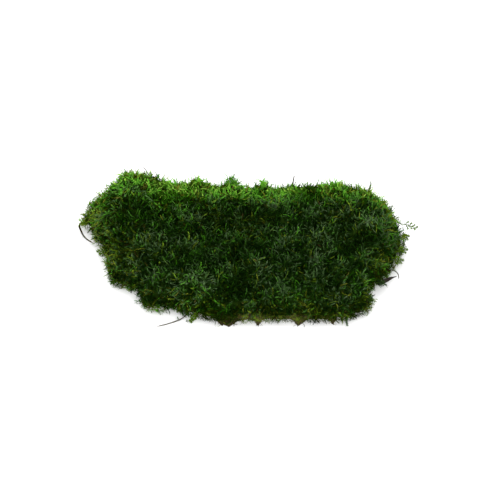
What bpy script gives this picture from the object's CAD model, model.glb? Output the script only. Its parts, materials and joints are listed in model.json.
"""Moss clump: the visible moss, soil and loose shoots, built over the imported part.

Run it as a script. It registers the panel "Moss" in the 3D view's sidebar, then runs each step in order.
"""

import json
import math
import random

import bmesh
import bpy
from bpy.props import FloatProperty, FloatVectorProperty, IntProperty, PointerProperty
from mathutils import Matrix, Vector, noise

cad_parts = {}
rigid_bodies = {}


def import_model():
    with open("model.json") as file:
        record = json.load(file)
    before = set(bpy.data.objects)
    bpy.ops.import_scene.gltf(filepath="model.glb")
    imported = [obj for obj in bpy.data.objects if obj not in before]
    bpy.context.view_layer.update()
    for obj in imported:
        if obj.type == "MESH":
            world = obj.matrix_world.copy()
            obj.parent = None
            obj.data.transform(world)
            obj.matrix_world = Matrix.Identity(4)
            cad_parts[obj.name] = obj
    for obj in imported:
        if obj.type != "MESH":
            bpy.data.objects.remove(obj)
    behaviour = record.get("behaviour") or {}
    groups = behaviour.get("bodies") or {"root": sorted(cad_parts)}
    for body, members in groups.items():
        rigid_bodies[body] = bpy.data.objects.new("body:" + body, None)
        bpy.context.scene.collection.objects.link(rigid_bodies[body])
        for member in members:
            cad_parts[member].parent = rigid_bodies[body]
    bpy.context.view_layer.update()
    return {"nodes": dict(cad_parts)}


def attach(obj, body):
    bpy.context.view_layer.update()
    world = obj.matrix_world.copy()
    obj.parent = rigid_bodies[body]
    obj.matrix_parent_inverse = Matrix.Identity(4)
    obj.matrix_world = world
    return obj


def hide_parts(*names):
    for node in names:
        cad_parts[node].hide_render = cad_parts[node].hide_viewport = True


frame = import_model()

bl_info = {
    "name": "Moss clump",
    "version": (1, 0, 0),
    "blender": (4, 5, 0),
    "location": "3D View > Sidebar > Moss",
    "description": "Builds a torn clump of feather moss, its soil and its loose shoots",
    "category": "Object",
}

PATTERNS = "shoot_patterns"  # collection of the shoots that are copied over the mat
LOW_PATTERNS = "low_patterns"  # collection of the old shoots that are copied flat over its core
FIBRES = "fibre_patterns"  # collection of the root fibres that are copied over the soil
PALETTE = "OFBake"  # UV map that holds each shoot's hue across and its age from base to tip
TONES = 48  # hues that the palette is divided into
CELL_EDGE = 0.15  # a shoot's own palette starts this far into the column of its hue
CELL_WIDTH = 0.7  # and is this wide, in columns
GOLDEN_ANGLE = math.radians(137.5)  # turn from one leaf to the next
FLOOR_CLEARANCE = 0.0004  # shoots and fibres are held this far above the floor
LEFT_TIP_X = -0.113  # the left tip of the mat lies beyond this
BANDS = 5  # the mat is scattered in bands along its length
BANDS_LEFT = -0.1235  # where the first band starts
BANDS_RIGHT = 0.1185  # where the last band ends
SHOOT_SEED = 40  # of the first band; the others count on from it
LOW_SEED = 60  # of the first band's old shoots
SKIRT_SEED = 77
FIBRE_SEED = 91
TUFT_SEED = 12
SPRIG_BRANCHES = 7
SPRIG_REACH = 0.0060  # length of a sprig's lowest side branches
CAMERA_ELEVATION = math.radians(40.0)
CAMERA_DISTANCE = 4.0
CAMERA_WIDTH = 0.375  # width of the view at the moss
CAMERA_TARGET = (0.0008, 0.0, 0.0186)
SENSOR_WIDTH = 36.0

# Loose shoots: CAD node, look, radius, and path from inside the mat to the tip, in millimetres.
# A stem is almost bare, a shoot is leafy, and a sprig is a leafy shoot with side branches like a feather's.
LOOSE = (
    ("rear_whisker_left", "stem", 0.45, ((-73.7, 50.7, 44), (-76.7, 55.7, 48.5), (-79.7, 59.7, 50.5))),
    ("rear_shoot_left", "shoot", 0.8, ((-72.7, 48.7, 42), (-73.2, 52.7, 47), (-73.7, 55.7, 49.5))),
    ("rear_shoot_middle", "shoot", 1.0, ((-12.7, 45.7, 40), (-11.7, 51.7, 46), (-10.7, 55.7, 48))),
    ("rear_spike_middle", "stem", 0.6, ((33.3, 46.7, 36), (33.3, 51.7, 42), (34.3, 55.7, 45.5))),
    ("rear_spike_right", "shoot", 0.8, ((88.3, 43.7, 33), (91.3, 48.7, 39), (92.3, 52.7, 43.5))),
    ("left_loop_stem", "stem", 0.75, ((-122.7, 50.2, 3.5), (-128.2, 48.6, 3.5), (-127.3, 41.7, 3.2),
                                      (-123.7, 33.0, 3.0), (-117.4, 26.3, 3.0))),
    ("left_shoot_low", "sprig", 0.8, ((-102.7, 9.7, 8), (-109.7, 11.7, 7), (-114.7, 12.7, 5))),
    ("trailing_stem", "stem", 0.5, ((-42.7, -48.3, 4), (-48.7, -57.3, 1.4), (-56.7, -62.3, 0.8),
                                    (-68.7, -67.3, 0.8))),
    ("front_shoot_left", "sprig", 0.8, ((-36.7, -51.3, 4), (-40.7, -59.3, 2), (-44.7, -63.8, 1.2))),
    ("front_shoot_right", "shoot", 0.9, ((71.3, -54.3, 4), (72.3, -62.3, 2.2), (73.3, -68.3, 1.4))),
    ("right_shoot_top", "sprig", 0.7, ((111.5, 27.5, 22), (118.5, 26.3, 21.2), (128.3, 24.3, 18.8))),
    ("right_shoot_upper", "sprig", 1.0, ((110.3, 18.7, 13), (115.3, 20.2, 13.5), (121.3, 21.2, 13.5))),
    ("right_shoot_middle", "sprig", 1.0, ((108.3, 6.7, 10), (114.3, 8.2, 11), (119.8, 8.7, 10.5))),
    ("right_shoot_low", "sprig", 1.0, ((105.3, -0.3, 7.5), (111.3, -0.3, 8.5), (116.3, -0.8, 8))),
    ("right_hooked_stem", "stem", 0.45, ((101.3, -10.3, 6), (108.3, -9.3, 6.5), (111.8, -12.3, 5.5),
                                         (112.3, -16.8, 4))),
)

# Tufts that stand out of the mat: middle in millimetres, direction, shoots, spread in millimetres, length
# beside an ordinary shoot's, hue, and light.
TUFTS = (
    ((-119.0, 50.0, 5.5), (-1.0, 0.1, 0.1), 22, 2.6, 1.1, 0.22, 1.5),
    ((-123.0, 49.0, 4.5), (-1.0, 0.0, 0.1), 14, 1.2, 1.0, 0.20, 1.4),
    ((-14.0, 49.0, 42.0), (0.0, 0.3, 1.0), 34, 4.0, 1.0, 0.76, 1.2),
    ((10.5, 47.5, 41.0), (0.1, 0.2, 1.0), 30, 2.4, 0.9, 0.80, 1.55),
    ((36.0, 48.0, 37.0), (0.1, 0.3, 1.0), 8, 2.5, 0.7, 0.70, 0.9),
    ((97.5, -24.5, 7.5), (0.8, -0.6, 0.1), 24, 2.6, 0.8, 0.40, 0.75),
    ((-42.0, -57.0, 2.5), (-0.6, -0.7, 0.0), 3, 2.2, 0.4, 0.62, 0.8),
    ((-53.0, -57.5, 1.5), (-0.3, -0.8, 0.3), 3, 0.6, 0.42, 0.60, 0.8),
    ((-46.5, -61.0, 1.5), (0.5, -0.8, 0.2), 3, 0.6, 0.42, 0.60, 0.8),
    ((-66.0, -48.0, 4.0), (-0.7, -0.6, 0.1), 12, 4.0, 0.8, 0.62, 1.1),
    ((-77.0, -39.0, 4.0), (-0.7, -0.7, 0.1), 10, 3.0, 0.7, 0.55, 1.1),
    ((84.0, -47.0, 5.0), (0.9, -0.5, 0.1), 12, 4.0, 0.8, 0.60, 0.8),
    ((111.0, 14.0, 12.0), (1.0, 0.0, 0.2), 7, 2.5, 0.7, 0.26, 0.9),
    ((115.5, 18.5, 16.5), (1.0, 0.2, -0.1), 14, 2.4, 0.62, 0.23, 1.1),
    ((98.5, 40.0, 30.0), (0.5, 0.3, 0.8), 16, 3.5, 0.55, 0.58, 1.15),
    ((104.5, 36.5, 26.5), (0.8, 0.1, 0.5), 18, 3.5, 0.60, 0.32, 1.15),
    ((109.0, 31.5, 21.5), (0.9, 0.0, 0.3), 18, 3.0, 0.60, 0.24, 1.1),
    ((112.5, 8.0, 10.5), (1.0, 0.0, 0.0), 6, 2.0, 0.6, 0.45, 0.9),
)

# Patches of brighter or darker shoots, and of olive ones: strength, centre and radius in millimetres.
LIGHT_PATCHES = (
    (0.30, (-114.0, 40.0, 14.0), 20.0), (1.25, (-88.0, 62.0, 54.0), 17.0),
    (1.25, (-107.0, 58.0, 32.0), 16.0), (0.35, (104.0, 34.0, 32.0), 20.0),
    (0.65, (-86.0, -24.0, 7.0), 20.0), (0.42, (-60.0, -46.0, 6.0), 24.0),
    (0.45, (10.0, 48.0, 40.0), 18.0), (-0.20, (-78.0, 2.0, 24.0), 38.0),
    (0.20, (62.0, 22.0, 32.0), 32.0),
)
OLIVE_PATCHES = (
    (0.95, (-88.0, 62.0, 54.0), 13.0), (0.60, (-114.0, 38.0, 12.0), 24.0),
    (0.50, (-104.0, -4.0, 10.0), 24.0), (0.40, (0.0, 6.0, 36.0), 9.0),
    (0.30, (60.0, 28.0, 36.0), 10.0), (0.50, (103.0, -12.0, 12.0), 18.0),
    (0.50, (108.0, 38.0, 28.0), 18.0),
)

# Bites out of the front edge, in millimetres: place along the edge, half width, and depth.
MAT_BITES = ((-57.5, 3.0, 5.5), (-40.0, 4.0, 1.2))
SOIL_BITES = ((-25.5, 3.2, 4.0), (-18.2, 1.4, 2.8), (4.2, 1.5, 1.8), (9.8, 1.5, 1.8))


def measure(name, description, default, low, high):
    return FloatProperty(name=name, description=description, default=default, min=low, max=high,
                         unit="LENGTH")


def number(name, description, default, low, high):
    return IntProperty(name=name, description=description, default=default, min=low, max=high)


def colour(name, description, red, green, blue):
    return FloatVectorProperty(name=name, description=description, subtype="COLOR",
                               size=4, min=0.0, max=1.0, default=(red, green, blue, 1.0))


class MossSettings(bpy.types.PropertyGroup):
    """Sizes and colours of the moss."""

    shoot_length: measure("Shoot length", "Length of an ordinary leafy shoot", 0.0078, 0.002, 0.03)
    leaf_length: measure("Leaf length", "Length of one moss leaf", 0.0022, 0.0003, 0.004)
    leaf_width: measure("Leaf width", "Width of one moss leaf", 0.00115, 0.0001, 0.002)
    core_depth: measure(
        "Core depth", "How far the woven core lies below the tips of the shoots", 0.0036, 0.001, 0.01)
    cushion_height: measure(
        "Cushion height", "How far the cushions of shoots stand above the hollows", 0.0085, 0.0, 0.02)
    shoots: number("Shoots", "How many shoots are scattered over the whole mat", 13600, 1000, 20000)
    low_shoots: number("Low shoots", "How many old shoots lie flat under the others", 5500, 100, 20000)
    fibres: number("Root fibres", "How many root fibres stand out of the soil", 1300, 100, 5000)
    skirt_shoots: number(
        "Skirt shoots", "How many short shoots hang over the edge of the soil", 3600, 100, 8000)
    dead_brown: colour("Dead brown", "Colour of old and dead shoots", 0.076, 0.054, 0.014)
    straw: colour("Straw", "Colour of shoots that have dried out", 0.120, 0.118, 0.022)
    olive: colour("Olive", "Colour of ageing shoots", 0.130, 0.185, 0.009)
    moss_gold: colour("Golden green", "Colour of shoots that turn from green to olive", 0.095, 0.200, 0.007)
    deep_green: colour("Deep green", "Colour of shaded shoots", 0.018, 0.060, 0.008)
    leaf_green: colour("Leaf green", "Colour of ordinary shoots", 0.030, 0.098, 0.010)
    young_green: colour("Young green", "Colour of fresh shoots", 0.078, 0.340, 0.006)
    pale_green: colour("Pale green", "Colour of the driest, palest shoots", 0.260, 0.520, 0.045)
    dry_sheen: colour("Dry sheen", "Greyness that is added to the tips of dry shoots", 0.052, 0.050, 0.043)
    soil_brown: colour("Soil", "Colour of the soil", 0.042, 0.034, 0.016)
    bark_brown: colour("Bark", "Colour of the scrap of bark", 0.018, 0.014, 0.010)


# Handling objects


def object_mode():
    if bpy.context.object and bpy.context.object.mode != "OBJECT":
        bpy.ops.object.mode_set(mode="OBJECT")


def add_to_scene(obj):
    bpy.context.scene.collection.objects.link(obj)


def pick_nothing():
    object_mode()
    bpy.ops.object.select_all(action="DESELECT")


def pick(*objects):
    """Selects only these objects, the first of them active."""
    pick_nothing()
    for obj in objects:
        obj.select_set(True)
    bpy.context.view_layer.objects.active = objects[0]


def edit(obj, action="DESELECT"):
    """Opens an object's mesh for editing, with nothing in it selected, or all of it."""
    pick(obj)
    bpy.ops.object.mode_set(mode="EDIT")
    bpy.ops.mesh.select_all(action=action)


def select_where(obj, test, faces=False):
    """In edit mode, selects the points or faces that pass a test of their place, and nothing else."""
    bpy.ops.mesh.select_all(action="DESELECT")
    bpy.ops.mesh.select_mode(type="FACE" if faces else "VERT")
    bm = bmesh.from_edit_mesh(obj.data)
    for item in bm.faces if faces else bm.verts:
        if test(item):
            item.select_set(True)
    bm.select_flush_mode()
    bmesh.update_edit_mesh(obj.data)


def add_modifier(obj, kind, **settings):
    modifier = obj.modifiers.new(kind.title(), kind)
    for key, value in settings.items():
        setattr(modifier, key, value)
    return modifier


def apply_modifiers(obj):
    pick(obj)
    for modifier in list(obj.modifiers):
        bpy.ops.object.modifier_apply(modifier=modifier.name)


def bend_by(obj, degrees):
    add_modifier(obj, "SIMPLE_DEFORM", deform_method="BEND", deform_axis="X", angle=math.radians(degrees))
    apply_modifiers(obj)


def roughen(obj, name, grain, octaves, strength, group=""):
    """Pushes a piece's surface in and out by a cloudy noise, all over or in one vertex group."""
    texture = bpy.data.textures.new(name, "CLOUDS")
    texture.noise_scale = grain
    texture.noise_depth = octaves
    add_modifier(obj, "DISPLACE", strength=strength, mid_level=0.5, texture=texture,
                 texture_coords="LOCAL", vertex_group=group)
    apply_modifiers(obj)


def shade_smooth(obj):
    pick(obj)
    bpy.ops.object.shade_smooth()


def keep_above_floor(obj):
    for vertex in obj.data.vertices:
        vertex.co.z = max(vertex.co.z, FLOOR_CLEARANCE)


def delete_faces(obj, test):
    edit(obj)
    select_where(obj, test, faces=True)
    bpy.ops.mesh.delete(type="FACE")
    object_mode()


def place_in_mesh(obj):
    """Puts the object's place, turn and scale in its mesh, with its origin at the world's."""
    pick(obj)
    bpy.ops.object.transform_apply(location=True, rotation=True, scale=True)


def copy_of(obj, name):
    pick(obj)
    made = obj.copy()
    made.data = obj.data.copy()
    made.name = name
    made.data.name = name
    add_to_scene(made)
    return made


def copy_of_node(node, name):
    """A closed, merged copy of a CAD node, free of its body."""
    source = frame["nodes"][node]
    made = bpy.data.objects.new(name, source.data.copy())
    add_to_scene(made)
    edit(made, "SELECT")
    bpy.ops.mesh.remove_doubles(threshold=0.00002)
    object_mode()
    return made


def keep_as(obj, name, material, slot, *nodes):
    """Names a finished piece, and says what it is made of and which CAD nodes it stands for."""
    obj.name = name
    obj.data.name = name
    obj.data.materials.clear()
    obj.data.materials.append(material)
    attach(obj, "root")
    if nodes:
        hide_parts(*nodes)


def new_collection(name):
    """A collection for patterns, taken off the view once they have been copied."""
    collection = bpy.data.collections.new(name)
    bpy.context.scene.collection.children.link(collection)
    return collection


def move_to(obj, collection):
    for old in list(obj.users_collection):
        old.objects.unlink(obj)
    collection.objects.link(obj)


def drop_collection(name):
    collection = bpy.data.collections[name]
    for obj in list(collection.objects):
        bpy.data.objects.remove(obj, do_unlink=True)
    bpy.data.collections.remove(collection)


# Writing nodes


def socket(node, name, kind=None, output=False):
    """A node's socket by its name and type, for nodes that hold hidden sockets of the same name."""
    for item in node.outputs if output else node.inputs:
        if item.name == name and item.enabled and (kind is None or item.type == kind):
            return item
    raise ValueError(f"{node.bl_idname} has no socket {name}")


class Tree:
    """A short way of writing the nodes of a material or of a geometry group."""

    def __init__(self, tree):
        self.tree = tree

    def add(self, kind, settings=None, **inputs):
        """A new node. Each input is a plain value or another node's socket."""
        node = self.tree.nodes.new(kind)
        for key, value in (settings or {}).items():
            setattr(node, key, value)
        for key, value in inputs.items():
            numbered = key[1:].isdigit()
            target = node.inputs[int(key[1:])] if numbered else socket(node, key.replace("_", " "))
            if isinstance(value, bpy.types.NodeSocket):
                self.tree.links.new(value, target)
            else:
                target.default_value = value
        return node

    def ramp(self, factor, stops):
        """A colour that follows a factor through stops of position and colour."""
        node = self.add("ShaderNodeValToRGB", Fac=factor)
        elements = node.color_ramp.elements
        elements.remove(elements[-1])
        elements[0].position, elements[0].color = stops[0]
        for position, shade in stops[1:]:
            elements.new(position).color = shade
        return node.outputs["Color"]

    def math(self, operation, a, b=0.0):
        return self.add("ShaderNodeMath", {"operation": operation}, i0=a, i1=b).outputs[0]

    def vector(self, operation, a, b=(0.0, 0.0, 0.0)):
        node = self.add("ShaderNodeVectorMath", {"operation": operation}, i0=a, i1=b)
        return node.outputs["Value" if operation == "DOT_PRODUCT" else "Vector"]

    def scaled(self, vector, factor):
        node = self.add("ShaderNodeVectorMath", {"operation": "SCALE"}, i0=vector)
        if isinstance(factor, bpy.types.NodeSocket):
            self.tree.links.new(factor, node.inputs["Scale"])
        else:
            node.inputs["Scale"].default_value = factor
        return node.outputs["Vector"]

    def named(self, name):
        return self.add("GeometryNodeInputNamedAttribute", {"data_type": "FLOAT"}, Name=name).outputs[0]

    def random(self, low, high, seed, kind="FLOAT"):
        node = self.add("FunctionNodeRandomValue", {"data_type": kind})
        types = {"FLOAT": "VALUE", "INT": "INT", "FLOAT_VECTOR": "VECTOR"}
        socket(node, "Min", types[kind]).default_value = low
        socket(node, "Max", types[kind]).default_value = high
        socket(node, "Seed").default_value = seed
        return socket(node, "Value", types[kind], output=True)


# Materials


def grey(value):
    return (value, value, value, 1.0)


def plain_material(name, roughness, specular):
    """A new material, the writer of its nodes, and its shader's inputs."""
    material = bpy.data.materials.new(name)
    material.use_nodes = True
    shader = material.node_tree.nodes["Principled BSDF"].inputs
    shader["Roughness"].default_value = roughness
    shader["Specular IOR Level"].default_value = specular
    return material, Tree(material.node_tree), shader


def moss_material(settings):
    """Hue across the palette from dead brown to pale green, darker towards the base of each shoot."""
    material, t, shader = plain_material("moss_shoots", 0.7, 0.0)
    palette = t.add("ShaderNodeUVMap", {"uv_map": PALETTE}).outputs["UV"]
    split = t.add("ShaderNodeSeparateXYZ", i0=palette)
    across, up = split.outputs["X"], split.outputs["Y"]
    hue = t.ramp(across, (
        (0.00, settings.dead_brown), (0.07, settings.straw), (0.14, settings.olive),
        (0.26, settings.moss_gold), (0.36, settings.deep_green),
        (0.55, settings.leaf_green), (0.80, settings.young_green), (0.96, settings.pale_green)))
    age = t.ramp(up, (
        (0.0, (0.050, 0.06, 0.014, 1.0)), (0.20, (0.185, 0.19, 0.180, 1.0)),
        (0.42, (0.50, 0.48, 0.55, 1.0)), (0.68, (0.90, 0.82, 1.10, 1.0)), (1.0, (1.45, 1.25, 1.60, 1.0))))
    stretched = t.vector("MULTIPLY", palette, (TONES * 0.9, 7.0, 1.0))
    mottle = t.add("ShaderNodeTexNoise", Vector=stretched, Scale=1.0, Detail=3.0)
    mottle = t.add("ShaderNodeMapRange", i0=mottle.outputs["Fac"], i1=0.3, i2=0.7, i3=0.75, i4=1.25)
    shade = t.scaled(t.vector("MULTIPLY", hue, age), mottle.outputs["Result"])
    dry = tuple(settings.dry_sheen)
    half_dry = tuple(0.42 * c for c in dry[:3]) + (1.0,)
    sheen = t.ramp(up, ((0.33, grey(0.0)), (0.62, half_dry), (1.0, dry)))
    dryness = t.ramp(across, ((0.0, grey(0.2)), (0.26, grey(0.2)), (0.38, grey(1.2)), (0.50, grey(1.1)),
                              (0.60, grey(0.6)), (0.80, grey(0.4))))
    shade = t.vector("ADD", shade, t.vector("MULTIPLY", sheen, dryness))
    t.tree.links.new(shade, shader["Base Color"])
    return material


def earthy(dark, middle):
    """Stops from a dark colour through a middle one to nearly twice its brightness."""
    light = tuple(min(1.0, 1.9 * c) for c in middle[:3]) + (1.0,)
    return ((0.30, dark), (0.52, tuple(middle)), (0.72, light))


def mottled_material(name, stops, scale, roughness, bump, specular=0.08):
    """Earthy matter: colours broken up by noise, with a rough surface."""
    material, t, shader = plain_material(name, roughness, specular)
    place = t.add("ShaderNodeTexCoord").outputs["Object"]
    coarse = t.add("ShaderNodeTexNoise", Vector=place, Scale=scale, Detail=6.0, Roughness=0.65)
    t.tree.links.new(t.ramp(coarse.outputs["Fac"], stops), shader["Base Color"])
    fine = t.add("ShaderNodeTexNoise", Vector=place, Scale=scale * 4.0, Detail=4.0)
    relief = t.add("ShaderNodeBump", Strength=bump, Distance=0.0004, Height=fine.outputs["Fac"])
    t.tree.links.new(relief.outputs["Normal"], shader["Normal"])
    return material


# One shoot


def paint_palette(obj, across, low, high, start, end):
    """Lays the palette map: 0 to 1 over the given width in X, and start to end over a range of Z or Y."""
    layer = obj.data.uv_layers.get(PALETTE) or obj.data.uv_layers.new(name=PALETTE)
    axis = 1 if abs(high.y - low.y) > abs(high.z - low.z) else 2
    span = high[axis] - low[axis]
    for loop in obj.data.loops:
        co = obj.data.vertices[loop.vertex_index].co
        u = 0.5 + co.x / across
        v = start + (end - start) * (co[axis] - low[axis]) / span
        layer.data[loop.index].uv = (min(max(u, 0.0), 1.0), v)


def recolour(obj, hue, base, span):
    """Moves a shoot's palette to one hue, with a brightness that rises from its base to its tip."""
    column = math.floor(hue * TONES)
    for item in obj.data.uv_layers[PALETTE].data:
        u = (column + CELL_EDGE + CELL_WIDTH * item.uv[0]) / TONES
        item.uv = (u, min(base + span * item.uv[1], 0.999))


def make_leaf(length, width, opening):
    """A pointed leaf on the stem's axis, creased along its midrib and leaning out by an angle."""
    pick_nothing()
    bpy.ops.mesh.primitive_circle_add(vertices=4, radius=length / 2, fill_type="NGON")
    leaf = bpy.context.object
    leaf.data.uv_layers.new(name=PALETTE)
    edit(leaf, "SELECT")
    bpy.ops.transform.translate(value=(0.0, length / 2, 0.0))
    select_where(leaf, lambda v: abs(v.co.x) > length / 4)
    bpy.ops.transform.resize(value=(width / length, 1.0, 1.0), center_override=(0.0, 0.0, 0.0))
    bpy.ops.transform.translate(value=(0.0, -0.12 * length, 0.22 * width))
    select_where(leaf, lambda v: abs(v.co.x) < width / 4)
    bpy.ops.mesh.vert_connect()
    object_mode()
    low, high = Vector((0.0, 0.0, 0.0)), Vector((0.0, length, 0.0))
    paint_palette(leaf, 1.05 * width, low, high, 0.0, 0.16)
    edit(leaf, "SELECT")
    bpy.ops.transform.rotate(value=math.pi / 2 - opening, orient_axis="X",
                             center_override=(0.0, 0.0, 0.0))
    object_mode()
    if max(v.co.z for v in leaf.data.vertices) <= 0.0:
        edit(leaf, "SELECT")
        bpy.ops.transform.rotate(value=-2.0 * (math.pi / 2 - opening), orient_axis="X",
                                 center_override=(0.0, 0.0, 0.0))
        object_mode()
    return leaf


def make_stem(length, radius, joints):
    """A thin three-sided stem that tapers to its tip."""
    pick_nothing()
    bpy.ops.mesh.primitive_circle_add(vertices=3, radius=radius, fill_type="NGON")
    stem = bpy.context.object
    stem.data.uv_layers.new(name=PALETTE)
    edit(stem)
    for joint in range(joints):
        level = length * joint / joints
        select_where(stem, lambda f: abs(f.calc_center_median().z - level) < 1e-6, faces=True)
        bpy.ops.mesh.extrude_region_move(
            TRANSFORM_OT_translate={"value": (0.0, 0.0, length / joints)})
        shrink = 0.6 ** (1.0 / joints) if joint < joints - 1 else 0.4
        bpy.ops.transform.resize(value=(shrink, shrink, 1.0))
    object_mode()
    paint_palette(stem, 2.4 * radius, Vector((0.0, 0.0, 0.0)), Vector((0.0, 0.0, length)), 0.0, 0.72)
    return stem


def make_shoot(name, length, leaf_length, leaf_width, opening, leaves, bend, collection,
               stem_radius=0.00018, joints=3, tip=0.5, hue=0.0):
    """A leafy shoot along +Z: one leaf repeated in a spiral up the stem, then bent.

    tip is the size of the last leaf beside the first, and hue how much paler the shoot is than its place.
    """
    leaf = make_leaf(leaf_length, leaf_width, opening)
    step = bpy.data.objects.new("leaf_step", None)
    add_to_scene(step)
    shrink = tip ** (1.0 / (leaves - 1))
    rise = (length - 0.8 * leaf_length) * (1.0 - shrink) / (1.0 - shrink ** (leaves - 1))
    step.location = (0.0, 0.0, rise)
    step.rotation_euler = (0.0, 0.0, GOLDEN_ANGLE)
    step.scale = (shrink, shrink, shrink)
    bpy.context.view_layer.update()
    add_modifier(leaf, "ARRAY", count=leaves, use_relative_offset=False, use_object_offset=True,
                 offset_object=step, offset_v=0.84 / leaves)
    apply_modifiers(leaf)
    bpy.data.objects.remove(step)
    shoot = make_stem(length, stem_radius, joints)
    pick(shoot, leaf)
    bpy.ops.object.join()
    if bend:
        bend_by(shoot, bend)
    shift = shoot.data.attributes.new("hue_shift", "FLOAT", "POINT")
    for item in shift.data:
        item.value = hue
    shoot.name = name
    move_to(shoot, collection)
    return shoot


def make_sprig(name, length, leaf_length, collection):
    """A leafy shoot with side branches to its left and right that shorten towards its tip."""
    sprig = make_shoot(name, length, leaf_length, 0.42 * leaf_length, math.radians(50),
                       round(length / 0.00075), 0, collection, joints=10, tip=0.75)
    for branch in range(SPRIG_BRANCHES):
        share = (branch + 1.0) / (SPRIG_BRANCHES + 1.0)
        reach = SPRIG_REACH * (1.15 - 0.65 * share)
        side = make_shoot(name + "_branch", reach, 0.85 * leaf_length, 0.50 * leaf_length, math.radians(42),
                          7, 24, collection, tip=0.6)
        turn = math.pi * branch + 0.5 * noise.noise(Vector((share * 9.0, length * 400.0, 0.0)))
        side.rotation_euler = (math.radians(-50.0), 0.0, turn)
        side.location = (0.0, 0.0, length * (0.25 + 0.68 * share))
        place_in_mesh(side)
        pick(sprig, side)
        bpy.ops.object.join()
    return sprig


# Scattering copies over a surface


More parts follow.
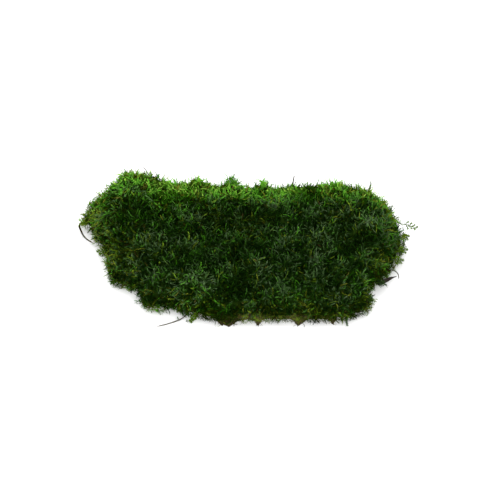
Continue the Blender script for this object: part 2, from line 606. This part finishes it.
def scatter(name, patterns, gauge, density, spacing, seed,
            lean, flow, wild, lift, size, spread, rise):
    """A node tree that covers a surface with copies of patterns, as one mesh.

    lean is how far a copy points away from the surface, flow how far it follows its neighbours, wild how
    far it goes its own way, lift how far it turns up, size its range of scale and spread its range of hue.
    The shoots are dark where they are near the gauge surface and bright beyond it, over the range that
    rise gives. The surface's points hold the tone, the light and the share of olive shoots.
    """
    t = Tree(bpy.data.node_groups.new(name, "GeometryNodeTree"))
    for side in ("INPUT", "OUTPUT"):
        t.tree.interface.new_socket("Geometry", in_out=side, socket_type="NodeSocketGeometry")
    start, end = t.add("NodeGroupInput"), t.add("NodeGroupOutput")
    points = t.add("GeometryNodeDistributePointsOnFaces", {"distribute_method": "POISSON"},
                   Mesh=start.outputs["Geometry"], Distance_Min=spacing, Density_Max=density, Seed=seed)
    normal = points.outputs["Normal"]
    place = t.add("GeometryNodeInputPosition").outputs[0]
    drift = t.add("ShaderNodeTexNoise", Vector=place, Scale=38.0, Detail=2.0)
    drift = t.vector("SUBTRACT", drift.outputs["Color"], (0.5, 0.5, 0.5))
    own = t.random((-1.0, -1.0, -1.0), (1.0, 1.0, 1.0), seed + 11, "FLOAT_VECTOR")
    way = t.vector("ADD", t.scaled(drift, flow), t.scaled(own, wild))
    along = t.scaled(normal, t.vector("DOT_PRODUCT", way, normal))
    way = t.vector("SUBTRACT", way, along)
    way = t.vector("ADD", t.vector("NORMALIZE", way), t.scaled(normal, lean))
    way = t.vector("ADD", way, t.scaled(normal, t.random(-0.25, 0.45, seed + 13)))
    way = t.vector("ADD", way, (0.0, 0.0, lift))
    aim = t.add("FunctionNodeAlignRotationToVector", {"axis": "Z"}, Vector=way)
    spin = t.add("FunctionNodeAxisAngleToRotation", Axis=(0.0, 0.0, 1.0),
                 Angle=t.random(0.0, math.tau, seed + 17))
    turned = t.add("FunctionNodeRotateRotation", {"rotation_space": "LOCAL"},
                   i0=aim.outputs[0], i1=spin.outputs[0])

    source = t.add("GeometryNodeCollectionInfo", {"transform_space": "ORIGINAL"},
                   Separate_Children=True, Reset_Children=True)
    source.inputs["Collection"].default_value = bpy.data.collections[patterns]
    last = len(bpy.data.collections[patterns].objects) - 1
    tone = t.math("ADD", t.named("tone"), t.random(-spread, spread, seed + 19))
    turned_olive = t.math("LESS_THAN", t.random(0.0, 1.0, seed + 37), t.named("olive"))
    shift = t.math("SUBTRACT", t.random(0.11, 0.28, seed + 41), tone)
    tone = t.math("ADD", tone, t.math("MULTIPLY", turned_olive, shift))
    clouds = t.add("ShaderNodeTexNoise", Vector=place, Scale=110.0, Detail=2.5)
    clouds = t.add("ShaderNodeMapRange", i0=clouds.outputs["Fac"], i1=0.37, i2=0.63, i3=0.29, i4=1.50)
    swathes = t.add("ShaderNodeTexNoise", Vector=place, Scale=36.0, Detail=1.0)
    swathes = t.add("ShaderNodeMapRange", i0=swathes.outputs["Fac"], i1=0.35, i2=0.65, i3=0.64, i4=1.30)
    light = t.math("MULTIPLY", clouds.outputs[0], t.random(0.82, 1.10, seed + 31))
    light = t.math("MULTIPLY", light, swathes.outputs[0])
    light = t.math("MULTIPLY", light, t.named("light"))
    at_points = {"data_type": "FLOAT", "domain": "POINT"}
    toned = t.add("GeometryNodeStoreNamedAttribute", at_points,
                  Geometry=points.outputs["Points"], Name="shoot_tone", Value=tone)
    toned = t.add("GeometryNodeStoreNamedAttribute", at_points,
                  Geometry=toned.outputs[0], Name="shoot_light", Value=light)
    copies = t.add("GeometryNodeInstanceOnPoints", Points=toned.outputs[0],
                   Instance=source.outputs[0], Pick_Instance=True,
                   Instance_Index=t.random(0, last, seed + 23, "INT"), Rotation=turned.outputs[0],
                   Scale=t.random(size[0], size[1], seed + 29))
    joined = t.add("GeometryNodeRealizeInstances", Geometry=copies.outputs[0]).outputs[0]

    parts = t.add("ShaderNodeSeparateXYZ", i0=place)
    floor = t.math("MAXIMUM", parts.outputs[2], FLOOR_CLEARANCE)
    held = t.add("ShaderNodeCombineXYZ", i0=parts.outputs[0], i1=parts.outputs[1], i2=floor)
    grounded = t.add("GeometryNodeSetPosition", Geometry=joined, Position=held.outputs[0])

    old = t.add("GeometryNodeInputNamedAttribute", {"data_type": "FLOAT_VECTOR"}, Name=PALETTE)
    old = t.add("ShaderNodeSeparateXYZ", i0=socket(old, "Attribute", output=True))
    tone = t.named("shoot_tone")
    tone = t.math("ADD", tone, t.named("hue_shift"))
    tone = t.math("MINIMUM", t.math("MAXIMUM", tone, 0.0), 0.999)
    column = t.math("FLOOR", t.math("MULTIPLY", tone, float(TONES)))
    inside = t.math("ADD", t.math("MULTIPLY", old.outputs[0], CELL_WIDTH), CELL_EDGE)
    u = t.math("DIVIDE", t.math("ADD", column, inside), float(TONES))
    surface = t.add("GeometryNodeObjectInfo", {"transform_space": "ORIGINAL"}, i0=gauge)
    away = t.add("GeometryNodeProximity", {"target_element": "FACES"},
                 i0=surface.outputs["Geometry"]).outputs["Distance"]
    height = t.add("ShaderNodeMapRange", i0=away, i1=rise[0], i2=rise[1], i3=0.0, i4=0.62).outputs[0]
    age = t.math("ADD", height, t.math("MULTIPLY", old.outputs[1], 0.38))
    age = t.math("MINIMUM", t.math("MULTIPLY", age, t.named("shoot_light")), 0.999)
    new = t.add("ShaderNodeCombineXYZ", i0=u, i1=age)
    painted = t.add("GeometryNodeStoreNamedAttribute", {"data_type": "FLOAT2", "domain": "CORNER"},
                    Geometry=grounded.outputs[0], Name=PALETTE, Value=new.outputs[0])
    t.tree.links.new(painted.outputs[0], end.inputs["Geometry"])
    return t.tree


def cover(obj, tree):
    """Replaces a surface by the copies that a scatter tree makes on it."""
    add_modifier(obj, "NODES", node_group=tree)
    apply_modifiers(obj)
    keep = {PALETTE, "position", ".edge_verts", ".corner_vert", ".corner_edge"}
    for attribute in [a.name for a in obj.data.attributes if a.name not in keep]:
        found = obj.data.attributes.get(attribute)
        if found and not found.is_required:
            obj.data.attributes.remove(found)
    bpy.data.node_groups.remove(tree)


def store(obj, name, value_at):
    """Keeps a number at each point of a surface for the scatter tree to read."""
    layer = obj.data.attributes.new(name, "FLOAT", "POINT")
    for vertex in obj.data.vertices:
        layer.data[vertex.index].value = value_at(vertex.co)


def surface_area(obj):
    return sum(p.area for p in obj.data.polygons)


# Where each hue grows


def past(value, start, width):
    """0 up to a start, rising to 1 at a width beyond it."""
    return min(max((value - start) / width, 0.0), 1.0)


def blot(place, centre_mm, radius_mm):
    """1 at a centre, falling to 0 beyond a radius."""
    away = (place * 1000.0 - Vector(centre_mm)).length / radius_mm
    return math.exp(-away * away)


def hangs_over(place, normal):
    """Whether short shoots hang from this part of the mat: its lower front and sides, and its left tip."""
    if place.x < LEFT_TIP_X:
        return normal.z > -0.3
    return normal.y < 0.3 and abs(normal.z) < 0.8 and 0.0015 < place.z < 0.0110


def bite(piece, bites, start, ramp):
    """Pushes a piece's front edge back at a few places, more and more from the start of the ramp on."""
    for vertex in piece.data.vertices:
        share = past(-vertex.co.y, -start, ramp)
        for middle, width, depth in bites:
            vertex.co.y += 0.001 * depth * share * math.exp(-((1000 * vertex.co.x - middle) / width) ** 2)


def crest_share(place):
    """0 over the face of the moss, 1 along its rear crest."""
    return past(place.y, 0.020 + 0.013 * past(-place.x, 0.066, 0.024), 0.022)


def rear_share(place):
    """The crest's share, halved down the rear side."""
    return crest_share(place) * (0.5 + 0.5 * past(place.z, 0.008, 0.020))


def left_share(place):
    """1 along the lower left of the front edge, 0 from its middle on."""
    return past(-place.x, 0.020, 0.020)


def low_share(place):
    """0 over the face of the moss, 1 along its lower edge."""
    return past(-place.z, -0.020, 0.014)


def moss_light(place):
    """How bright the shoots are at a place on the mat."""
    light = 0.71 + 0.58 * rear_share(place) + 0.45 * low_share(place)
    for strength, centre, radius in LIGHT_PATCHES:
        light += strength * blot(place, centre, radius)
    light -= 0.08 * past(-place.y, 0.002, 0.020)
    return light


def skirt_light(place):
    """How bright the short shoots are that hang over the edge."""
    return 0.86 + 0.22 * left_share(place) if place.x > LEFT_TIP_X else 1.45


def olive_share(place):
    """How many of the shoots have turned olive at a place on the mat."""
    share = 0.035 + 0.10 * crest_share(place)
    if place.y < -0.03:
        share += (0.65 - 0.25 * left_share(place)) * low_share(place)
    for strength, centre, radius in OLIVE_PATCHES:
        share += strength * blot(place, centre, radius)
    return share


def moss_tone(place):
    """Hue of the green shoots at a place on the mat: 0 is dead brown, 1 is pale green."""
    patch = noise.noise(place / 0.030) + 0.5 * noise.noise(place / 0.012 + Vector((5.0, 2.0, 1.0)))
    tone = 0.49 + 0.12 * patch + 0.31 * crest_share(place)
    tone += 0.12 * blot(place, (-100.0, 44.0, 34.0), 30.0)
    tone += 0.10 * low_share(place)
    return min(max(tone, 0.38), 0.92)


# Steps


class MOSS_OT_patterns(bpy.types.Operator):
    """Models the few leafy shoots and root fibres that are copied over the mat and the soil"""

    bl_idname = "moss.patterns"
    bl_label = "Shoot patterns"

    def execute(self, context):
        s = context.scene.moss_settings
        shoots = new_collection(PATTERNS)
        long, leaf, wide = s.shoot_length, s.leaf_length, s.leaf_width
        for name, stretch, size, opening, leaves, bend, hue in (
                ("shoot_a", 1.00, 1.05, 34, 13, 55, 0.0), ("shoot_b", 0.80, 1.15, 42, 11, 80, 0.02),
                ("shoot_c", 1.15, 0.95, 27, 15, 100, 0.0), ("shoot_d", 0.65, 1.20, 48, 10, 30, -0.04),
                ("shoot_e", 1.10, 1.00, 30, 14, -70, 0.0), ("shoot_f", 0.90, 1.10, 38, 12, 90, 0.04),
                ("shoot_g", 1.05, 0.80, 24, 15, 130, -0.06), ("shoot_h", 1.20, 0.70, 20, 15, 85, 0.10)):
            make_shoot(name, stretch * long, size * leaf, size * wide, math.radians(opening), leaves,
                       bend, shoots, hue=hue)
        low = new_collection(LOW_PATTERNS)
        for name, stretch, bend, hue in (("low_a", 1.1, 35, 0.0), ("low_b", 0.9, -60, -0.15),
                                         ("low_c", 1.3, 90, 0.05)):
            make_shoot(name, stretch * long, 1.25 * leaf, 0.8 * wide, math.radians(24), 8, bend, low,
                       joints=2, hue=hue)
        fibres = new_collection(FIBRES)
        for name, length, bend in (("fibre_a", 0.0040, 60), ("fibre_b", 0.0055, 110),
                                   ("fibre_c", 0.0030, 30)):
            fibre = make_stem(length, 0.00021, 4)
            bend_by(fibre, bend)
            fibre.data.attributes.new("hue_shift", "FLOAT", "POINT")
            fibre.name = name
            move_to(fibre, fibres)
        return {"FINISHED"}


class MOSS_OT_mat(bpy.types.Operator):
    """Builds the woven core, then covers it with shoots in bands along its length"""

    bl_idname = "moss.mat"
    bl_label = "Moss mat"

    def make_core(self, s):
        """The core under the shoots, and the gauge that their height is measured from."""
        core = copy_of_node("moss_mat", "moss_core")
        group = core.vertex_groups.new(name="sides_and_top")
        for vertex in core.data.vertices:
            under = past(-vertex.normal.z, 0.5, 0.3)
            side = 1.0 - abs(vertex.normal.z)
            front = min(max(-vertex.normal.y, 0.0), 1.0) if vertex.co.z < 0.022 else 0.0
            right = past(vertex.co.x, 0.085, 0.020) * max(vertex.normal.x, 0.0)
            depth = 0.60 + 0.35 * front * side - 0.25 * (1.0 - front) * side + 0.60 * right
            group.add([vertex.index], depth * (1.0 - under), "REPLACE")
        add_modifier(core, "DISPLACE", strength=-1.6 * s.core_depth, mid_level=0.0,
                     vertex_group="sides_and_top")
        add_modifier(core, "REMESH", mode="VOXEL", voxel_size=0.0020)
        apply_modifiers(core)
        bite(core, MAT_BITES, -0.038, 0.010)
        gauge = copy_of(core, "gauge")
        add_modifier(gauge, "DISPLACE", strength=-0.5 * s.cushion_height, mid_level=0.0)
        add_modifier(gauge, "DECIMATE", ratio=0.4)
        apply_modifiers(gauge)
        group = core.vertex_groups.new(name="open_sides")
        for vertex in core.data.vertices:
            under = past(-vertex.normal.z, 0.2, 0.5)
            group.add([vertex.index], (1.0 - under) * (1.0 - 0.65 * crest_share(vertex.co)), "REPLACE")
        roughen(core, "cushions", 0.0085, 2, s.cushion_height, "open_sides")
        store(core, "tone", moss_tone)
        store(core, "light", moss_light)
        store(core, "olive", olive_share)
        return core, gauge

    def make_bands(self, s, core, gauge, material):
        """Strips of the core, covered with upright shoots over old ones that lie flat."""
        width = (BANDS_RIGHT - BANDS_LEFT) / BANDS
        bands = []
        for band in range(BANDS):
            start = BANDS_LEFT + width * band if band else -1.0
            end = BANDS_LEFT + width * (band + 1) if band < BANDS - 1 else 1.0
            strip = copy_of(core, f"moss_band_{band + 1}")
            delete_faces(strip, lambda f: not (start <= f.calc_center_median().x < end
                                               and f.normal.z > -0.6))
            bands.append(strip)
        total = sum(surface_area(strip) for strip in bands)
        for band, strip in enumerate(bands):
            tree = scatter("shoot_scatter", PATTERNS, gauge, s.shoots / total, 0.0005, SHOOT_SEED + band,
                           lean=0.36, flow=4.5, wild=0.9, lift=0.12, size=(0.75, 1.15), spread=0.12,
                           rise=(0.30 * s.cushion_height, 1.10 * s.cushion_height))
            low_layer = copy_of(strip, "low_layer")
            cover(strip, tree)
            density = s.low_shoots / total
            tree = scatter("low_scatter", LOW_PATTERNS, gauge, density, 0.0008, LOW_SEED + band,
                           lean=0.10, flow=2.4, wild=1.2, lift=0.0, size=(0.8, 1.2), spread=0.20,
                           rise=(0.25 * s.cushion_height, 1.10 * s.cushion_height))
            cover(low_layer, tree)
            pick(strip, low_layer)
            bpy.ops.object.join()
            keep_as(strip, f"moss_shoots_{band + 1}", material, "moss", "moss_mat")

    def make_skirt(self, s, gauge, material):
        """Fine old shoots that hang over the mat's lower edge."""
        skirt = copy_of_node("moss_mat", "moss_skirt")
        bite(skirt, MAT_BITES, -0.038, 0.010)
        delete_faces(skirt, lambda f: not hangs_over(f.calc_center_median(), f.normal))
        store(skirt, "tone", lambda place: 0.62 + 0.14 * noise.noise(place / 0.012))
        store(skirt, "light", skirt_light)
        store(skirt, "olive", lambda place: 0.85 - 0.35 * left_share(place))
        density = s.skirt_shoots / surface_area(skirt)
        tree = scatter("skirt_scatter", LOW_PATTERNS, gauge, density, 0.0004, SKIRT_SEED,
                       lean=0.0, flow=1.0, wild=1.2, lift=-0.5, size=(0.30, 0.55), spread=0.14,
                       rise=(0.0, 0.8 * s.cushion_height))
        cover(skirt, tree)
        keep_as(skirt, "moss_skirt", material, "moss", "moss_mat")

    def execute(self, context):
        s = context.scene.moss_settings
        material = moss_material(s)
        core, gauge = self.make_core(s)
        self.make_bands(s, core, gauge, material)
        self.make_skirt(s, gauge, material)
        bpy.data.objects.remove(gauge)
        for name in ("tone", "light", "olive"):
            core.data.attributes.remove(core.data.attributes[name])
        stops = ((0.35, (0.003, 0.007, 0.0006, 1.0)), (0.65, (0.012, 0.027, 0.003, 1.0)))
        weave = mottled_material("woven_core", stops, 260.0, 0.9, 0.8, specular=0.0)
        shade_smooth(core)
        keep_as(core, "moss_core", weave, "moss", "moss_mat")
        return {"FINISHED"}


class MOSS_OT_tufts(bpy.types.Operator):
    """Copies the leafy shoots into the few tufts that stand out of the mat"""

    bl_idname = "moss.tufts"
    bl_label = "Tufts"

    def execute(self, context):
        chance = random.Random(TUFT_SEED)
        patterns = list(bpy.data.collections[PATTERNS].objects)
        shoots = []
        for middle, way, count, spread, stretch, hue, light in TUFTS:
            for _ in range(count):
                shoot = copy_of(chance.choice(patterns), "tuft_shoot")
                off = Vector([chance.gauss(0.0, 0.5) for _ in range(3)])
                shoot.location = (Vector(middle) + off * spread) * 0.001
                own = Vector([chance.gauss(0.0, 0.22) for _ in range(3)])
                turn = (Vector(way).normalized() + own).to_track_quat("Z", "Y").to_matrix().to_4x4()
                spin = Matrix.Rotation(chance.uniform(0.0, math.tau), 4, "Z")
                shoot.rotation_euler = (turn @ spin).to_euler()
                shoot.scale = (stretch * chance.uniform(0.7, 1.1),) * 3
                own_hue = hue + chance.uniform(-0.08, 0.08)
                bright = 0.45 * light * chance.uniform(0.8, 1.1)
                recolour(shoot, own_hue, bright, bright)
                shoots.append(shoot)
        pick(*shoots)
        bpy.ops.object.join()
        tufts = bpy.context.object
        place_in_mesh(tufts)
        keep_above_floor(tufts)
        keep_as(tufts, "moss_tufts", bpy.data.materials["moss_shoots"], "moss", "moss_mat")
        return {"FINISHED"}


class MOSS_OT_soil(bpy.types.Operator):
    """Builds the crumbly layer of soil, and the root fibres that stand out of its edge"""

    bl_idname = "moss.soil"
    bl_label = "Soil layer"

    def shows(self, place, normal):
        """Whether root fibres stand out here: along the front edge, and over the root points."""
        if place.y < -0.052:
            return normal.z > -0.5
        return abs(normal.z) < 0.6 and place.y < -0.03

    def execute(self, context):
        s = context.scene.moss_settings
        soil = copy_of_node("soil_layer", "soil_layer_crumbly")
        add_modifier(soil, "REMESH", mode="VOXEL", voxel_size=0.0018)
        apply_modifiers(soil)
        bite(soil, SOIL_BITES, -0.056, 0.008)
        edges = soil.vertex_groups.new(name="edges")
        for vertex in soil.data.vertices:
            under = vertex.normal.z < -0.5 or vertex.co.z < 0.0009
            edges.add([vertex.index], 0.0 if under else 1.0, "REPLACE")
        roughen(soil, "crumbs", 0.0035, 3, 0.0024, "edges")
        shade_smooth(soil)
        stops = earthy((0.010, 0.008, 0.006, 1.0), s.soil_brown)
        material = mottled_material("crumbly_soil", stops, 700.0, 0.95, 1.0)
        fringe = copy_of(soil, "fringe")
        delete_faces(fringe, lambda f: not self.shows(f.calc_center_median(), f.normal))
        store(fringe, "tone", lambda place: 0.07)
        store(fringe, "light", lambda place: 1.5)
        store(fringe, "olive", lambda place: 0.0)
        tree = scatter("fibre_scatter", FIBRES, soil, s.fibres / surface_area(fringe), 0.0003, FIBRE_SEED,
                       lean=0.35, flow=1.5, wild=1.2, lift=0.05, size=(0.6, 1.2), spread=0.08,
                       rise=(-0.001, 0.003))
        cover(fringe, tree)
        keep_as(soil, "soil_layer_crumbly", material, "soil", "soil_layer")
        keep_as(fringe, "root_fibres", bpy.data.materials["moss_shoots"], "soil", "soil_layer")
        return {"FINISHED"}


class MOSS_OT_loose_shoots(bpy.types.Operator):
    """Builds the single shoots and stems that stand clear of the mat"""

    bl_idname = "moss.loose_shoots"
    bl_label = "Loose shoots"

    def follow(self, shoot, path):
        """Lays a straight shoot along a smooth path."""
        curve = bpy.data.curves.new("path", "CURVE")
        curve.dimensions = "3D"
        curve.resolution_u = 24
        spline = curve.splines.new("BEZIER")
        spline.bezier_points.add(len(path) - 1)
        for point, place in zip(spline.bezier_points, path):
            point.co = place
            point.handle_left_type = point.handle_right_type = "AUTO"
        guide = bpy.data.objects.new("path", curve)
        add_to_scene(guide)
        bpy.context.view_layer.update()
        add_modifier(shoot, "CURVE", object=guide, deform_axis="POS_Z")
        apply_modifiers(shoot)
        bpy.data.objects.remove(guide)

    def execute(self, context):
        s = context.scene.moss_settings
        material = bpy.data.materials["moss_shoots"]
        home = bpy.context.scene.collection
        shades = {"stem": (0.0, 0.16, 0.32), "shoot": (0.55, 0.22, 0.50), "sprig": (0.27, 0.38, 0.42)}
        for name, look, radius, path_mm in LOOSE:
            path = [Vector(point) * 0.001 for point in path_mm]
            length = sum((b - a).length for a, b in zip(path, path[1:]))
            leaf = s.leaf_length
            if look == "stem":
                shoot = make_shoot(name, length, 0.3 * leaf, 0.18 * leaf, math.radians(14),
                                   max(8, round(length / 0.0012)), 0, home,
                                   stem_radius=1.25 * radius * 0.001, joints=14, tip=0.6)
            elif look == "shoot":
                shoot = make_shoot(name, length, 1.2 * leaf, 0.6 * leaf, math.radians(40),
                                   round(length / 0.00050), 0, home, joints=10, tip=0.7)
            else:
                shoot = make_sprig(name, length, 1.38 * leaf, home)
            self.follow(shoot, path)
            recolour(shoot, *shades[look])
            keep_above_floor(shoot)
            slot = "stem_brown" if look == "stem" else "shoot_green"
            keep_as(shoot, name + "_visible", material, slot, name)
        return {"FINISHED"}


class MOSS_OT_bark(bpy.types.Operator):
    """Builds the scrap of bark from its CAD solid, with a cracked surface"""

    bl_idname = "moss.bark"
    bl_label = "Bark scrap"

    def execute(self, context):
        s = context.scene.moss_settings
        bark = copy_of_node("bark_scrap", "bark_scrap_cracked")
        add_modifier(bark, "SUBSURF", levels=3, render_levels=3, subdivision_type="SIMPLE")
        roughen(bark, "cracks", 0.0016, 2, 0.0009)
        shade_smooth(bark)
        stops = earthy((0.004, 0.003, 0.003, 1.0), s.bark_brown)
        material = mottled_material("dark_bark", stops, 420.0, 0.8, 1.0)
        keep_as(bark, "bark_scrap_cracked", material, "bark", "bark_scrap")
        return {"FINISHED"}


class MOSS_OT_stage(bpy.types.Operator):
    """Sets up the pale floor, the soft lights and the camera"""

    bl_idname = "moss.stage"
    bl_label = "Stage"

    def area_light(self, name, place, target, size, power):
        bpy.ops.object.light_add(type="AREA", location=place)
        light = bpy.context.object
        light.name = name
        light.data.shape = "SQUARE"
        light.data.size = size
        light.data.energy = power
        aim = Vector(target) - Vector(place)
        light.rotation_euler = aim.to_track_quat("-Z", "Y").to_euler()

    def execute(self, context):
        pick_nothing()
        bpy.ops.mesh.primitive_plane_add(size=8.0, location=(0.0, 0.0, -0.0001))
        floor = bpy.context.object
        floor.name = "floor"
        material, _, shader = plain_material("pale_floor", 0.9, 0.1)
        shader["Base Color"].default_value = grey(0.98)
        floor.data.materials.append(material)

        world = bpy.data.worlds.new("soft_white")
        context.scene.world = world
        world.use_nodes = True
        background = world.node_tree.nodes["Background"]
        background.inputs["Color"].default_value = (1.0, 1.0, 1.0, 1.0)
        background.inputs["Strength"].default_value = 1.15
        self.area_light("rear_key", (-0.30, 1.20, 1.10), (0.0, 0.0, 0.02), 1.2, 16.0)
        self.area_light("front_fill", (0.1, -1.5, 0.65), (0.0, 0.0, 0.0), 2.0, 38.0)

        camera = bpy.data.objects.new("camera", bpy.data.cameras.new("camera"))
        add_to_scene(camera)
        back = Vector((0.0, -math.cos(CAMERA_ELEVATION), math.sin(CAMERA_ELEVATION)))
        camera.location = Vector(CAMERA_TARGET) + back * CAMERA_DISTANCE
        camera.rotation_euler = (-back).to_track_quat("-Z", "Y").to_euler()
        camera.data.sensor_width = SENSOR_WIDTH
        camera.data.lens = SENSOR_WIDTH * CAMERA_DISTANCE / CAMERA_WIDTH
        camera.data.clip_start = 0.05
        camera.data.clip_end = 20.0
        context.scene.camera = camera
        context.scene.view_settings.view_transform = "Standard"
        return {"FINISHED"}


class MOSS_PT_panel(bpy.types.Panel):
    bl_label = "Moss"
    bl_idname = "MOSS_PT_panel"
    bl_space_type = "VIEW_3D"
    bl_region_type = "UI"
    bl_category = "Moss"

    def draw(self, context):
        settings = context.scene.moss_settings
        for name in settings.__annotations__:
            self.layout.prop(settings, name)
        for step in STEPS:
            self.layout.operator(step.bl_idname)


STEPS = (MOSS_OT_patterns, MOSS_OT_mat, MOSS_OT_tufts, MOSS_OT_soil, MOSS_OT_loose_shoots, MOSS_OT_bark,
         MOSS_OT_stage)
CLASSES = (MossSettings,) + STEPS + (MOSS_PT_panel,)


def register():
    for cls in CLASSES:
        bpy.utils.register_class(cls)
    bpy.types.Scene.moss_settings = PointerProperty(type=MossSettings)


def unregister():
    del bpy.types.Scene.moss_settings
    for cls in reversed(CLASSES):
        bpy.utils.unregister_class(cls)


def main():
    register()
    bpy.ops.moss.patterns()
    bpy.ops.moss.mat()
    bpy.ops.moss.tufts()
    bpy.ops.moss.soil()
    bpy.ops.moss.loose_shoots()
    bpy.ops.moss.bark()
    drop_collection(PATTERNS)
    drop_collection(LOW_PATTERNS)
    drop_collection(FIBRES)
    bpy.ops.moss.stage()


if __name__ == "__main__":
    main()
